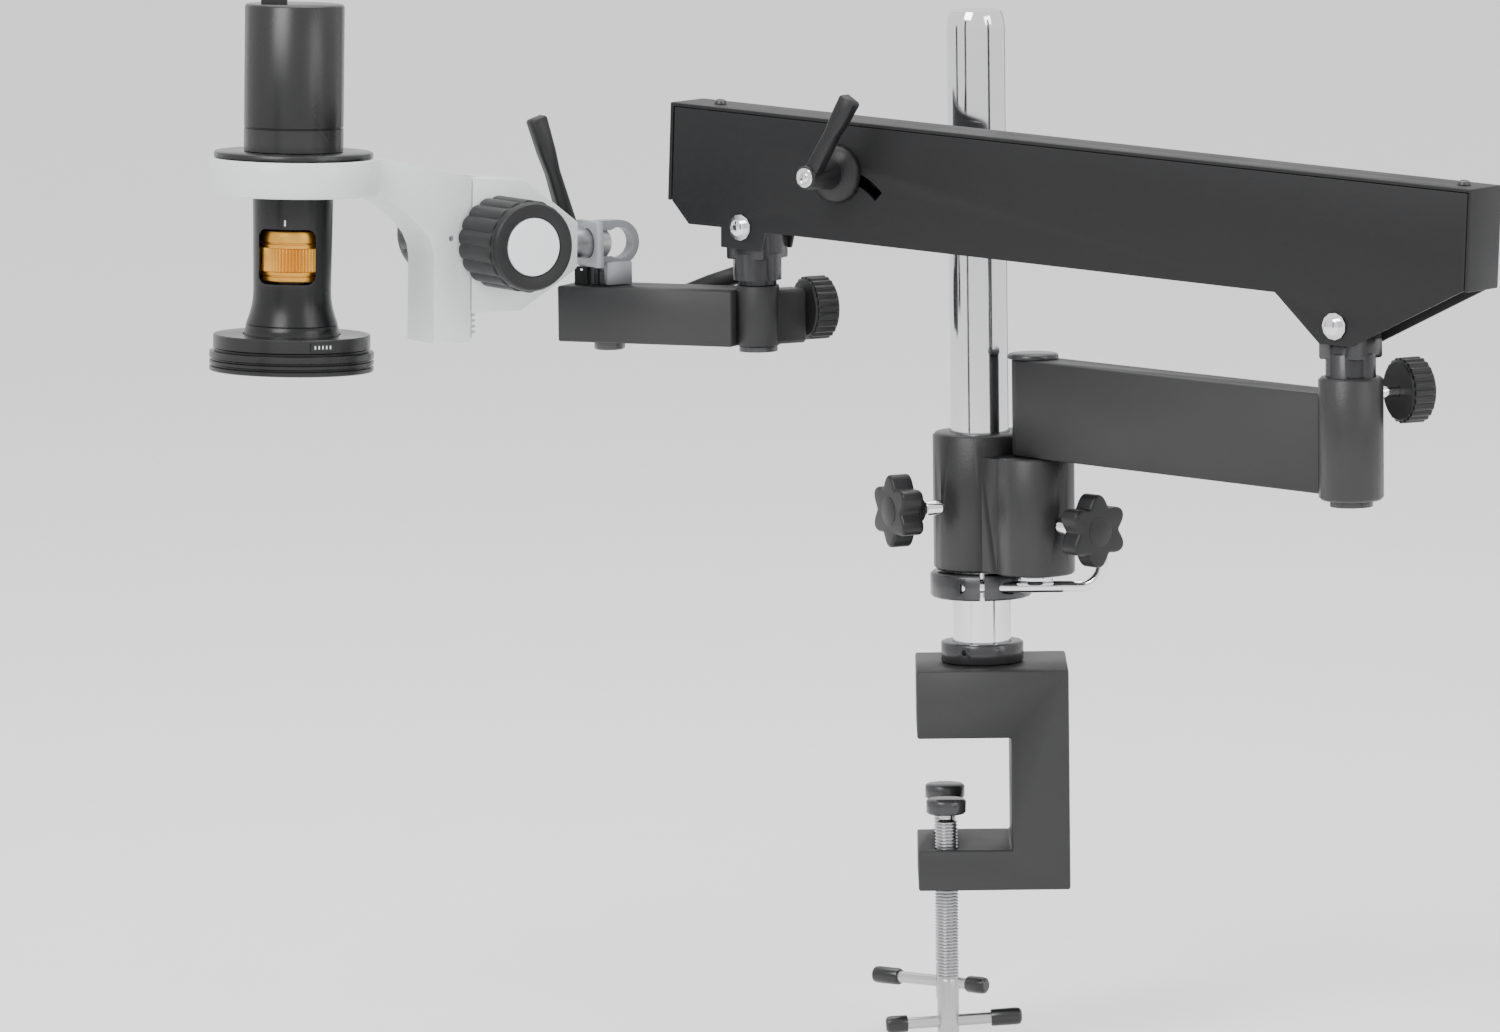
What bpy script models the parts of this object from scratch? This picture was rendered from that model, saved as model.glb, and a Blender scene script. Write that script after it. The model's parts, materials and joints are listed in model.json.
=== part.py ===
"""Digital inspection microscope on a three-link articulating arm, with pillar and desk clamp.

The frame's origin is on the pillar's axis, at the underside of the clamp's upper jaw. +Z is up, +X is
towards the clamp's back leg, and -Y is the front. Lengths below are in millimetres.
"""

import math

import bmesh
import bpy
from mathutils import Matrix, Vector

MM = 0.001
GAP = 0.3
ROUNDNESS = 0.7

# Desk clamp
CLAMP_X = (-36.5, 46.5)
CLAMP_Y = (-42.0, 38.0)
JAW_TOP_Z = 37.0
LEG_INNER_X = 14.8
LOWER_JAW_Z = (-84.0, -62.0)
CLAMP_SCREW_X = -21.0
CLAMP_SCREW_Y = {"front": -29.0, "rear": 27.0}
THREAD_R = 6.2
THREAD_PITCH = 2.0
BOSS_R = 6.0
PAD_R = 11.0
PAD_TOP_Z = -35.0
BAR_R = 3.2
BAR_CAP_R = 4.8
BAR_CAP_L = 17.0
BAR_CAP_SHORT = 12.0
BAR_HALF = 37.5
BAR_POSE = {"front": (5.0, -2.5, 3.0), "rear": (-35.0, 0.0, -11.0)}  # turn, lean, slide

# Pillar and the collars on it
PILLAR_R = 16.0
PILLAR_TOP_Z = 395.0
PILLAR_FOOT_Z = 8.3
BASE_COLLAR_R = 22.8
BASE_COLLAR_TOP_Z = 48.3
SAFETY_COLLAR_R = 28.0
SAFETY_COLLAR_Z = (73.5, 87.2)
SAFETY_ROD_R = 3.2
SAFETY_ROD_Z = 80.2

# Hub casting: a sleeve on the pillar and a boss for the arm's pivot
SLEEVE_R = 26.0
SLEEVE_Z = (88.6, 164.0)
BOSS_AT = (29.0, -26.0)
ARM_BOSS_R = 22.0
ARM_BOSS_Z = (88.7, 153.1)
PIVOT_R = 9.0
STAR_KNOB_R = 20.0
STAR_KNOB_T = 13.0
STUD_R = 4.0
PILLAR_LOCK_DEG = 207.0
PILLAR_LOCK_Z = 123.5
ARM_LOCK_DEG = -49.0
ARM_LOCK_Z = 116.0

# Lower arm
ARM_DEG = -50.3
ARM_LENGTH = 254.0
ARM_HALF_WIDTH = 11.75
ARM_Z = (153.6, 206.5)
ARM_WALL = 3.0
SOCKET_R = 17.2
SOCKET_Z = (150.8, 215.8)
POST_R = 13.3
LOCK_KNOB_R = 17.5
LOCK_KNOB_T = 14.5
LOCK_KNOB_DEG = 27.0

# Parallel arm, in its own frame: U towards the wrist, V up, W to the back
HOUSING_PIN_Z = 243.5
HOUSING_DEG = 144.4
HOUSING_TILT = 3.0
HOUSING_HALF_W = 15.0
PLATE_T = 2.0
LINK_SPACING = 38.0
WRIST_PIN_UV = (385.0, 15.0)
LOCK_U = 322.0
SLOT_HALF_WIDTH = 3.4
PIN_R = 4.0

# Forearm, from the wrist's axis
FOREARM_DEG = 156.1
FOREARM_Z = (212.8, 243.5)
FOREARM_HALF_WIDTH = 16.0
FOREARM_END = 114.0
KNUCKLE_AT = 90.1

# Focusing rack, in its own frame: X towards the knuckle, Z up the microscope
RACK_PIN_R = 7.95
RACK_HALF_WIDTH = 15.3
RACK_YAW = 30.0
RACK_LEAN = 1.8
PINION_X = -77.4
PINION_Z = 3.8
PITCH_R = 7.5
TEETH = 15
RACK_PITCH = math.pi * 2.0 * PITCH_R / TEETH
FOCUS_KNOB_R = 25.5

# Microscope, on its own axis
SCOPE_X = -194.5
RING_R = 46.0
RING_Z = (31.5, 51.0)
RING_BORE_R = 38.3
CAMERA_R = 27.1
CAMERA_Z = (55.0, 134.0)
RING_LIGHT_R = 44.6


def frame(origin, x_axis, z_axis):
    z = Vector(z_axis).normalized()
    y = z.cross(Vector(x_axis)).normalized()
    x = y.cross(z)
    turn = Matrix((x, y, z)).transposed().to_4x4()
    return Matrix.Translation(Vector(origin)) @ turn


def level_frame(origin, degrees):
    a = math.radians(degrees)
    return frame(origin, (math.cos(a), math.sin(a), 0.0), (0.0, 0.0, 1.0))


def along(origin, direction, up=(0.0, 0.0, 1.0)):
    """A frame whose Z runs along the direction and whose X is as near to up as it can be."""
    return frame(origin, up, direction)


WORLD = Matrix.Identity(4)
BOSS = level_frame((BOSS_AT[0], BOSS_AT[1], 0.0), ARM_DEG)
ELBOW_AT = BOSS @ Vector((ARM_LENGTH, 0.0, 0.0))
ELBOW = level_frame(ELBOW_AT, HOUSING_DEG)
TILT = Matrix.Rotation(math.radians(-HOUSING_TILT), 4, "Y")
ARM_LEVEL = level_frame((ELBOW_AT.x, ELBOW_AT.y, HOUSING_PIN_Z), HOUSING_DEG)
# In the housing's frame X is U, Y is -W (the front) and Z is V.
HOUSING = ARM_LEVEL @ TILT
WRIST_PIN = HOUSING @ Vector((WRIST_PIN_UV[0], 0.0, WRIST_PIN_UV[1]))
WRIST = level_frame((WRIST_PIN.x, WRIST_PIN.y, 0.0), HOUSING_DEG)
FOREARM = level_frame((WRIST_PIN.x, WRIST_PIN.y, 0.0), FOREARM_DEG)
KNUCKLE_POINT = FOREARM @ Vector((KNUCKLE_AT, 0.0, 0.0))
KNUCKLE = level_frame(KNUCKLE_POINT, RACK_YAW)
RACK_PIN_HEIGHT = 266.7
RACK = (
    level_frame((KNUCKLE_POINT.x, KNUCKLE_POINT.y, RACK_PIN_HEIGHT), RACK_YAW)
    @ Matrix.Rotation(math.radians(RACK_LEAN), 4, "Y")
)
SCOPE = RACK @ Matrix.Translation(Vector((SCOPE_X, 0.0, 0.0)))


def clear_scene():
    for obj in list(bpy.data.objects):
        bpy.data.objects.remove(obj, do_unlink=True)


def new_collection(name, helper):
    made = bpy.data.collections.new(name)
    made.hide_render = helper
    bpy.context.scene.collection.children.link(made)
    return made


clear_scene()
PARTS = new_collection("inspection_microscope", False)
CUTTERS = new_collection("cutters", True)
MATERIALS = {}


def material(name, colour, metallic, roughness):
    made = bpy.data.materials.new(name)
    made.use_nodes = True
    shader = made.node_tree.nodes["Principled BSDF"]
    shader.inputs["Base Color"].default_value = (*colour, 1.0)
    shader.inputs["Metallic"].default_value = metallic
    shader.inputs["Roughness"].default_value = roughness
    made.diffuse_color = (*colour, 1.0)
    MATERIALS[name] = made


material("black_powder_coat", (0.03, 0.03, 0.03), 0.0, 0.5)
material("black_oxide", (0.04, 0.04, 0.045), 0.6, 0.35)
material("black_plastic", (0.02, 0.02, 0.02), 0.0, 0.55)
material("black_rubber", (0.025, 0.025, 0.025), 0.0, 0.7)
material("chrome_steel", (0.75, 0.75, 0.76), 1.0, 0.12)
material("plain_steel", (0.55, 0.55, 0.56), 1.0, 0.3)
material("grey_paint", (0.35, 0.36, 0.37), 0.1, 0.45)
material("white_textured_paint", (0.78, 0.82, 0.80), 0.0, 0.5)
material("white_plastic", (0.85, 0.86, 0.87), 0.0, 0.35)
material("black_anodised", (0.02, 0.02, 0.022), 0.5, 0.3)
material("brass_anodised", (0.80, 0.55, 0.22), 1.0, 0.3)
material("optical_glass", (0.85, 0.9, 0.92), 0.0, 0.05)
material("frosted_diffuser", (0.9, 0.9, 0.88), 0.0, 0.6)


def add(name, mesh, place, finish):
    """Links a mesh as a part in its finish, or as a hidden helper when the finish is None."""
    obj = bpy.data.objects.new(name, mesh)
    obj.matrix_world = Matrix.Scale(MM, 4) @ place @ Matrix.Scale(1.0 / MM, 4)
    if finish is None:
        CUTTERS.objects.link(obj)
        obj.hide_render = True
        obj.display_type = "WIRE"
        return obj
    own = MATERIALS[finish].copy()
    own.name = name + "_" + finish
    mesh.materials.append(own)
    PARTS.objects.link(obj)
    return obj


def soften(obj, width, segments=1):
    if width:
        bevel = obj.modifiers.new("edges", "BEVEL")
        bevel.width = width * MM
        bevel.segments = segments
        bevel.limit_method = "ANGLE"
        bevel.angle_limit = math.radians(40.0)
    return obj


def plate(name, outline, low, high, place, finish=None, bevel=0.0, segments=1):
    """A flat outline in the frame's XY plane, given thickness along its Z."""
    area = sum(
        a[0] * b[1] - b[0] * a[1] for a, b in zip(outline, outline[1:] + outline[:1])
    )
    points = outline if area > 0 else outline[::-1]
    n = len(points)
    verts = [(x * MM, y * MM, low * MM) for x, y in points]
    verts += [(x * MM, y * MM, high * MM) for x, y in points]
    faces = [tuple(range(n))[::-1], tuple(range(n, 2 * n))]
    faces += [(i, (i + 1) % n, n + (i + 1) % n, n + i) for i in range(n)]
    mesh = bpy.data.meshes.new(name)
    mesh.from_pydata(verts, [], faces)
    return soften(add(name, mesh, place, finish), bevel, segments)


def box(name, x, y, z, place, finish=None, bevel=0.0):
    outline = [(x[0], y[0]), (x[1], y[0]), (x[1], y[1]), (x[0], y[1])]
    return plate(name, outline, z[0], z[1], place, finish, bevel)


def turned(name, profile, place, finish=None, steps=24, ring=False):
    """Radius and height pairs turned about the frame's Z. A ring's profile closes on itself."""
    points = list(profile)
    if not ring:
        points = [(0.0, profile[0][1])] + points + [(0.0, profile[-1][1])]
    area = sum(
        a[0] * b[1] - b[0] * a[1] for a, b in zip(points, points[1:] + points[:1])
    )
    if area > 0:
        points.reverse()
    n = len(points)
    edges = [(i, i + 1) for i in range(n - 1)]
    if ring:
        edges.append((n - 1, 0))
    mesh = bpy.data.meshes.new(name)
    mesh.from_pydata([(r * MM, 0.0, z * MM) for r, z in points], edges, [])
    obj = add(name, mesh, place, finish)
    screw = obj.modifiers.new("turning", "SCREW")
    screw.angle = math.radians(360.0)
    facets = max(8, round(steps * ROUNDNESS))
    screw.steps = facets
    screw.render_steps = facets
    screw.use_merge_vertices = True
    screw.merge_threshold = 0.00001
    return obj


def rod(name, radius, low, high, place, finish=None, steps=20, chamfer=0.0):
    if chamfer:
        ends = [(radius - chamfer, high), (radius, high - chamfer)]
        ends += [(radius, low + chamfer), (radius - chamfer, low)]
    else:
        ends = [(radius, high), (radius, low)]
    return turned(name, ends, place, finish, steps)


def pipe(name, inner, outer, low, high, place, finish=None, steps=24, chamfer=0.6):
    section = [(inner, high), (outer - chamfer, high), (outer, high - chamfer)]
    section += [(outer, low + chamfer), (outer - chamfer, low), (inner, low)]
    return turned(name, section, place, finish, steps, ring=True)


def combine(target, other, operation):
    made = target.modifiers.new(other.name, "BOOLEAN")
    made.operation = operation
    made.solver = "EXACT"
    made.object = other
    return target


def cut(target, *cutters):
    for cutter in cutters:
        combine(target, cutter, "DIFFERENCE")
    return target


def fuse(target, *others):
    for other in others:
        combine(target, other, "UNION")
    return target


def bent_rod(name, points, radius, place, finish):
    curve = bpy.data.curves.new(name, "CURVE")
    curve.dimensions = "3D"
    curve.bevel_depth = radius * MM
    curve.bevel_resolution = 1
    curve.use_fill_caps = True
    line = curve.splines.new("POLY")
    line.points.add(len(points) - 1)
    for point, at in zip(line.points, points):
        point.co = (at[0] * MM, at[1] * MM, at[2] * MM, 1.0)
    return add(name, curve, place, finish)


def circle(cx, cy, radius, count, start=0.0, sweep=360.0):
    whole = abs(sweep - 360.0) < 1e-6
    divisions = count if whole else count - 1
    angles = [math.radians(start + sweep * i / divisions) for i in range(count)]
    return [(cx + radius * math.cos(a), cy + radius * math.sin(a)) for a in angles]


def lobed(radius, depth, lobes, per_lobe, sharpness=1.0):
    """A knob's outline: lobes of the given depth round a circle."""
    points = []
    total = lobes * per_lobe
    for i in range(total):
        a = 2.0 * math.pi * i / total
        wave = (0.5 + 0.5 * math.cos(lobes * a)) ** sharpness
        r = radius - depth + depth * wave
        points.append((r * math.cos(a), r * math.sin(a)))
    return points


def direction(degrees):
    a = math.radians(degrees)
    return Vector((math.cos(a), math.sin(a), 0.0))


def upright(place):
    """The same frame with its XZ plane as the drawing plane."""
    return place @ Matrix.Rotation(math.radians(90.0), 4, "X")


def moved(place, x=0.0, y=0.0, z=0.0):
    return place @ Matrix.Translation(Vector((x, y, z)))


def desk_clamp():
    left, right = CLAMP_X
    low, jaw = LOWER_JAW_Z
    outline = [(left, JAW_TOP_Z), (right, JAW_TOP_Z), (right, low), (left, low)]
    outline += [(left, jaw), (LEG_INNER_X, jaw), (LEG_INNER_X, 0.0), (left, 0.0)]
    clamp = plate(
        "clamp_frame", outline, -CLAMP_Y[1], -CLAMP_Y[0], upright(WORLD), "black_powder_coat", 0.9
    )
    socket = PILLAR_FOOT_Z - GAP
    cut(clamp, rod("pillar_socket", PILLAR_R + 0.5, socket, JAW_TOP_Z + 5.0, WORLD, None, 28))
    for side, lower in (("front", 0.0), ("rear", 12.0)):
        at = moved(WORLD, CLAMP_SCREW_X, CLAMP_SCREW_Y[side])
        cut(clamp, rod(side + "_thread_hole", THREAD_R + 0.35, low - 5.0, jaw + 5.0, at))
        clamp_screw(side, at, lower)


def clamp_screw(side, at, raised):
    """A screw with its swivel pad and sliding tommy bar. The rear bar sits higher on its boss."""
    groove = 0.6
    top = PAD_TOP_Z - 5.0
    profile = [(3.6, top), (3.6, top - 6.0), (THREAD_R, top - 7.0)]
    z = -126.0
    while z > -136.0:
        profile += [(THREAD_R, z), (THREAD_R - groove, z - THREAD_PITCH / 2)]
        z -= THREAD_PITCH
    foot = -168.0 + raised
    profile += [(BOSS_R, -136.0), (BOSS_R, foot + 0.8), (BOSS_R - 0.8, foot)]
    screw = turned(side + "_clamp_screw", profile, at, "plain_steel", 16)
    bar_z = -158.0 + raised
    angle, lean, shift = BAR_POSE[side]
    bar_at = moved(at, 0.0, 0.0, bar_z) @ Matrix.Rotation(math.radians(angle), 4, "Z")
    bar_at = bar_at @ Matrix.Rotation(math.radians(90.0 + lean), 4, "Y")
    cut(screw, rod(side + "_bar_hole", BAR_R + 0.35, -10.0, 10.0, bar_at, None, 16))
    long_end = BAR_CAP_L if side == "front" else BAR_CAP_SHORT
    short_end = BAR_CAP_SHORT if side == "front" else BAR_CAP_L
    ends = (shift - BAR_HALF, shift + BAR_HALF)
    bar = [(BAR_CAP_R - 1.0, ends[1]), (BAR_CAP_R, ends[1] - 1.5)]
    bar += [(BAR_CAP_R, ends[1] - long_end), (BAR_R, ends[1] - long_end - 1.0)]
    bar += [(BAR_R, ends[0] + short_end + 1.0), (BAR_CAP_R, ends[0] + short_end)]
    bar += [(BAR_CAP_R, ends[0] + 1.5), (BAR_CAP_R - 1.0, ends[0])]
    turned(side + "_tommy_bar", bar, bar_at, "plain_steel", 16)
    low = PAD_TOP_Z - 8.0
    pad = rod(side + "_clamp_pad", PAD_R, low, PAD_TOP_Z, at, "black_oxide", 24, 1.0)
    cut(pad, rod(side + "_pad_socket", 4.0, low - 5.0, top + GAP, at, None, 16))


def pillar():
    post = [(13.7, PILLAR_TOP_Z), (15.2, PILLAR_TOP_Z - 2.5), (PILLAR_R, PILLAR_TOP_Z - 10.0)]
    post += [(PILLAR_R, PILLAR_FOOT_Z)]
    turned("pillar", post, WORLD, "chrome_steel", 28)
    low = JAW_TOP_Z + GAP
    collar = pipe(
        "base_collar", PILLAR_R + 0.4, BASE_COLLAR_R, low, BASE_COLLAR_TOP_Z, WORLD, "black_oxide"
    )
    hole = along((0.0, 0.0, 44.0), direction(243.2))
    cut(collar, rod("set_screw_hole", 1.7, 10.0, 30.0, hole, None, 10))


def safety_stop():
    low, high = SAFETY_COLLAR_Z
    collar = pipe(
        "safety_collar", PILLAR_R + 0.4, SAFETY_COLLAR_R, low, high, WORLD, "black_oxide", 28, 1.0
    )
    cut(collar, box("collar_slit", (-1.2, 1.2), (-35.0, -8.0), (low - 2.0, high + 2.0), WORLD))
    rod_y = -22.8
    tunnel = along((0.0, rod_y, SAFETY_ROD_Z), (1.0, 0.0, 0.0))
    cut(collar, rod("lever_hole", SAFETY_ROD_R + 0.4, -12.0, 40.0, tunnel, None, 14))
    path = [(-11.0, rod_y, SAFETY_ROD_Z)]
    for i in range(4):
        a = math.radians(30.0 * i)
        bend = 12.0
        path.append(
            (54.0 + bend * math.sin(a), rod_y, SAFETY_ROD_Z + bend * (1.0 - math.cos(a)))
        )
    path.append((66.0, rod_y, 99.5))
    bent_rod("safety_lever_rod", path, SAFETY_ROD_R, WORLD, "chrome_steel")


def hub():
    sleeve = rod("hub_casting", SLEEVE_R, SLEEVE_Z[0], SLEEVE_Z[1], WORLD, "black_powder_coat", 32, 1.5)
    boss_at = moved(WORLD, BOSS_AT[0], BOSS_AT[1])
    fuse(sleeve, rod("arm_boss", ARM_BOSS_R, ARM_BOSS_Z[0], ARM_BOSS_Z[1], boss_at, None, 28, 1.0))
    web_at = level_frame((0.0, 0.0, 0.0), math.degrees(math.atan2(BOSS_AT[1], BOSS_AT[0])))
    web_z = (ARM_BOSS_Z[0] + 0.6, ARM_BOSS_Z[1] - 0.7)
    fuse(sleeve, box("hub_web", (5.0, 36.0), (-19.0, 19.0), web_z, web_at))
    pillar_lock = along((0.0, 0.0, PILLAR_LOCK_Z), direction(PILLAR_LOCK_DEG))
    arm_lock = along((BOSS_AT[0], BOSS_AT[1], ARM_LOCK_Z), direction(ARM_LOCK_DEG))
    cut(
        sleeve,
        rod("sleeve_bore", PILLAR_R + 0.4, 80.0, 170.0, WORLD, None, 28),
        rod("boss_bore", PIVOT_R + 0.35, 80.0, 170.0, boss_at),
        rod("pillar_lock_hole", STUD_R + 0.4, 10.0, 40.0, pillar_lock, None, 14),
        rod("arm_lock_hole", STUD_R + 0.4, 5.0, 40.0, arm_lock, None, 14),
    )
    star_knob("pillar_lock", pillar_lock, PILLAR_R + 1.0, 44.0)
    star_knob("arm_lock", arm_lock, PIVOT_R + 1.0, 40.0)


def star_knob(name, at, tip, back):
    """A six-lobed knob whose lobes start at back, on a stud that reaches in to tip."""
    neck = back - 7.0
    lobes = lobed(STAR_KNOB_R, 5.6, 6, 6, 0.8)
    knob = plate(name + "_knob", lobes, back, back + STAR_KNOB_T, at, "black_plastic", 2.4)
    fuse(knob, rod(name + "_neck", 7.5, neck, back + 2.0, at, None, 16))
    cut(knob, rod(name + "_insert_hole", STUD_R + 0.3, neck - 2.0, back + 6.3, at, None, 14))
    rod(name + "_stud", STUD_R, tip, back + 6.0, at, "chrome_steel", 14, 0.5)


def lower_arm():
    half = ARM_HALF_WIDTH
    outline = circle(0.0, 0.0, half, 11, 90.0, 180.0)
    outline += [(ARM_LENGTH - 8.0, -half), (ARM_LENGTH - 8.0, half)]
    low, high = ARM_Z
    tube = plate("lower_arm", outline, low, high, BOSS, "black_powder_coat", 0.8)
    inner = (-half + ARM_WALL, half - ARM_WALL)
    hollow = (low + ARM_WALL, high - ARM_WALL)
    at_elbow = moved(BOSS, ARM_LENGTH)
    cut(
        tube,
        box("arm_hollow", (18.0, ARM_LENGTH + 5.0), inner, hollow, BOSS),
        rod("arm_pivot_hole", PIVOT_R + 0.35, low - 5.0, high + 5.0, BOSS),
        rod("socket_cope", SOCKET_R + GAP, low - 5.0, high + 5.0, at_elbow, None, 28),
    )
    cap = 14.0
    pin = [(cap - 0.8, high + 2.9), (cap, high + 2.1), (cap, high + GAP), (PIVOT_R, high + GAP)]
    pin += [(PIVOT_R, 88.9), (4.0, 88.9), (4.0, 84.0)]
    turned("arm_pivot_pin", pin, BOSS, "black_oxide", 24)
    pipe("arm_pivot_washer", 4.4, 10.3, 85.0, 88.2, BOSS, "chrome_steel", 20, 0.4)


def lock_screw_and_knob(name, axis_at, height, tip, back):
    at = along((axis_at.x, axis_at.y, height), direction(LOCK_KNOB_DEG))
    flutes = lobed(LOCK_KNOB_R, 1.2, 18, 2, 0.6)
    knob = plate(name + "_knob", flutes, back, back + LOCK_KNOB_T, at, "black_plastic", 1.0)
    fuse(knob, rod(name + "_screw", 3.0, tip, back + 8.0, at, None, 12, 0.4))
    return at


def pivot_block(name, at, low, pin_z):
    """The top of a post: a block between the arm's plates, slotted for the link, with two pin holes."""
    half = 12.3
    high = pin_z + LINK_SPACING + 9.0
    block = box(name + "_block", (-half, half), (-half, half), (low, high), at, None, 0.8)
    slot_z = (pin_z + LINK_SPACING - 13.0, high + 5.0)
    pin_at = moved(upright(at), 0.0, pin_z, 0.0)
    link_at = moved(upright(at), 0.0, pin_z + LINK_SPACING, 0.0)
    return block, (
        box(name + "_slot", (-20.0, 20.0), (-3.5, 3.5), slot_z, at),
        rod(name + "_pin_hole", PIN_R + 0.35, -20.0, 20.0, pin_at, None, 16),
        rod(name + "_link_hole", 3.35, -20.0, 20.0, link_at, None, 14),
    )


def elbow():
    low, high = SOCKET_Z
    centre = ELBOW_AT
    socket = pipe(
        "elbow_socket", POST_R + 0.3, SOCKET_R, low, high, ELBOW, "black_powder_coat", 28, 1.5
    )
    lock = lock_screw_and_knob("elbow_lock", centre, 206.5, POST_R + 0.6, 28.5)
    cut(socket, rod("elbow_lock_hole", 3.4, 8.0, 30.0, lock, None, 12))
    foot = low + 0.5
    post = rod("elbow_post", POST_R, foot, HOUSING_PIN_Z - 15.0, ELBOW, "black_oxide", 28, 0.6)
    block, cutters = pivot_block("elbow", ELBOW, HOUSING_PIN_Z - 18.0, HOUSING_PIN_Z)
    fuse(post, block)
    cut(post, *cutters)
    cut(post, rod("elbow_stem_hole", 4.4, foot - 5.0, foot + 15.0, ELBOW, None, 14))
    cap = [(4.0, foot + 13.0), (4.0, low - GAP), (11.5, low - GAP), (11.5, low - 3.5)]
    turned("elbow_post_retainer", cap, ELBOW, "black_oxide", 20)


def housing_outline():
    right = -77.6
    points = [(432.0, 77.0), (432.0, 25.3), (420.4, 13.5), (398.4, 13.8), (398.0, 3.0)]
    points += [(371.5, 2.8), (369.2, 13.7), (38.3, 14.1), (9.4, -10.3), (-10.5, -9.9)]
    points += [(-74.7, 24.8), (right, 26.0), (right, 77.0)]
    return points


def parallel_arm():
    side = upright(HOUSING)
    w = HOUSING_HALF_W
    front = (-w, -w + PLATE_T)
    body = plate("parallel_arm_frame", housing_outline(), *front, side, "black_powder_coat")
    fuse(body, plate("rear_side_plate", housing_outline(), w - PLATE_T, w, side))
    web = [(44.0, 14.6), (366.0, 14.6), (366.0, 16.6), (44.0, 16.6)]
    fuse(body, plate("arm_floor", web, -w + 0.5, w - 0.5, side))
    centre = (LOCK_U - 2.0, 12.4)
    outer = circle(*centre, LINK_SPACING + SLOT_HALF_WIDTH, 9, 69.0, 64.0)
    inner = circle(*centre, LINK_SPACING - SLOT_HALF_WIDTH, 9, 69.0, 64.0)
    wrist_u, wrist_v = WRIST_PIN_UV
    cut(
        body,
        plate("lock_slot", outer + inner[::-1], -w - 3.0, -w + 5.0, side),
        rod("elbow_bolt_hole", PIN_R + 0.35, -20.0, 20.0, side, None, 16),
        rod("wrist_bolt_hole", PIN_R + 0.35, -20.0, 20.0, moved(side, wrist_u, wrist_v), None, 16),
    )
    cover()
    pivot_bolt("elbow_pivot_bolt", side)
    pivot_bolt("wrist_pivot_bolt", moved(side, wrist_u, wrist_v))
    inner_link(side)
    tilt_lock()


def cover():
    w = HOUSING_HALF_W
    top = (77.4, 79.4)
    lid = box("parallel_arm_cover", (-80.0, 435.0), (-w, w), top, HOUSING, "black_powder_coat")
    fuse(lid, box("wrist_end_plate", (433.0, 435.0), (-w, w), (25.5, 79.0), HOUSING))
    fuse(lid, box("elbow_end_plate", (-80.0, -78.0), (-w, w), (25.5, 79.0), HOUSING))
    for name, u in (("wrist", 412.0), ("elbow", -66.0)):
        at = moved(HOUSING, u)
        cut(lid, rod(name + "_screw_hole", 2.1, 70.0, 85.0, at, None, 10))
        head = [(1.6, 82.0), (3.4, 81.2), (3.8, 79.7), (1.7, 79.7), (1.7, 72.0)]
        turned(name + "_cover_screw", head, at, "black_oxide", 12)


def pivot_bolt(name, at):
    w = HOUSING_HALF_W
    bolt = [(5.5, w + 3.0), (5.5, w + GAP), (PIN_R, w + GAP), (PIN_R, -w - GAP)]
    bolt += [(7.2, -w - GAP), (7.2, -w - 1.4), (4.6, -w - 1.4), (4.6, -w - 3.6), (3.8, -w - 4.2)]
    turned(name, bolt, at, "chrome_steel", 16)


def inner_link(side):
    rise = math.radians(HOUSING_TILT)
    first = (LINK_SPACING * math.sin(rise), LINK_SPACING * math.cos(rise))
    last = (first[0] + WRIST_PIN_UV[0], first[1] + WRIST_PIN_UV[1])
    slope = math.degrees(math.atan2(WRIST_PIN_UV[1], WRIST_PIN_UV[0]))
    half = 6.5
    outline = circle(*last, half, 7, slope - 90.0, 180.0)
    outline += circle(*first, half, 7, slope + 90.0, 180.0)
    bar = plate("inner_link", outline, -2.9, 2.9, side, "plain_steel")
    for name, at in (("elbow", first), ("wrist", last)):
        place = moved(side, *at)
        cut(bar, rod(name + "_end_hole", 3.35, -10.0, 10.0, place, None, 14))
        rod(name + "_link_pin", 3.0, -11.8, 11.8, place, "plain_steel", 12)
    lock = moved(side, LOCK_U, lock_height())
    cut(bar, rod("lock_stud_hole", 3.35, -10.0, 10.0, lock, None, 14))


def lock_height():
    rise = math.radians(HOUSING_TILT)
    share = (LOCK_U - LINK_SPACING * math.sin(rise)) / WRIST_PIN_UV[0]
    return LINK_SPACING * math.cos(rise) + share * WRIST_PIN_UV[1]


def tilt_lock():
    outward = HOUSING.to_3x3() @ Vector((0.0, 1.0, 0.0))
    up = HOUSING.to_3x3() @ Vector((0.0, 0.0, 1.0))
    face = HOUSING @ Vector((LOCK_U, HOUSING_HALF_W, lock_height()))
    at = along(face, outward, up)
    cup = [(3.5, 7.0), (8.6, 7.0), (14.0, 4.6), (16.0, 2.2), (16.0, 0.4), (3.5, 0.4)]
    turned("tilt_lock_washer", cup, at, "black_plastic", 28, ring=True)
    rod("tilt_lock_stud", 3.0, -17.6, 30.4, at, "chrome_steel", 12, 0.4)
    knob = lever("tilt_lock_lever", at, (7.4, 30.0), -29.0, 51.0)
    cut(knob, rod("tilt_stud_hole", 3.35, 0.0, 40.0, at, None, 14))


def lever(name, at, hub_z, degrees, reach):
    """A ratchet lever: a tapered hub on the stud and a tapering arm with a swollen grip."""
    low, high = hub_z
    spun = at @ Matrix.Rotation(math.radians(degrees), 4, "Z")
    hub = turned(name, [(5.6, high), (6.6, high - 1.0), (8.2, low)], spun, "black_plastic", 16)
    sides = [(0.0, 4.6), (0.55 * reach, 3.5), (0.72 * reach, 4.6), (reach, 5.2)]
    outline = sides + [(x, -y) for x, y in reversed(sides)]
    return fuse(hub, plate(name + "_arm", outline, high - 10.0, high - 1.6, spun, None, 1.2))


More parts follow.
